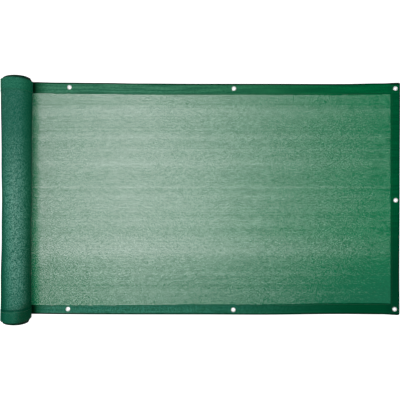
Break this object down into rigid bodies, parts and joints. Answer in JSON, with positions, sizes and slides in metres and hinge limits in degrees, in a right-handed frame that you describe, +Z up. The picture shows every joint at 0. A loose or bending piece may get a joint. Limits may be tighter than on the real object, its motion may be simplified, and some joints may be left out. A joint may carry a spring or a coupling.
{
  "type": "balcony privacy screen",
  "caption": "Knitted shade net for a balcony rail, lying flat from a wound roll, with double hems and metal eyelets along its edges.",
  "frame": {"origin": "on the floor, under the middle of the whole screen, roll and loose run together", "axes": "+X along the net from the roll to the free end, +Y across it towards the back hem, +Z up from the floor"},
  "size_m": [1.524, 0.92, 0.1109],
  "materials": {
    "net": "knitted polyethylene net, semi-matt, lets light through",
    "hem": "the same net folded double and sewn, nearly opaque",
    "eyelet": "pressed, satin bright"
  },
  "bodies": {
    "root": {"roll": "net", "panel": "net", "hem_back": "hem", "hem_front": "hem", "hem_end": "hem", "eyelet_back_1": "eyelet", "eyelet_back_2": "eyelet", "eyelet_front_1": "eyelet", "eyelet_front_2": "eyelet", "eyelet_end_back": "eyelet", "eyelet_end_middle": "eyelet", "eyelet_end_front": "eyelet"}
  },
  "joints": []
}
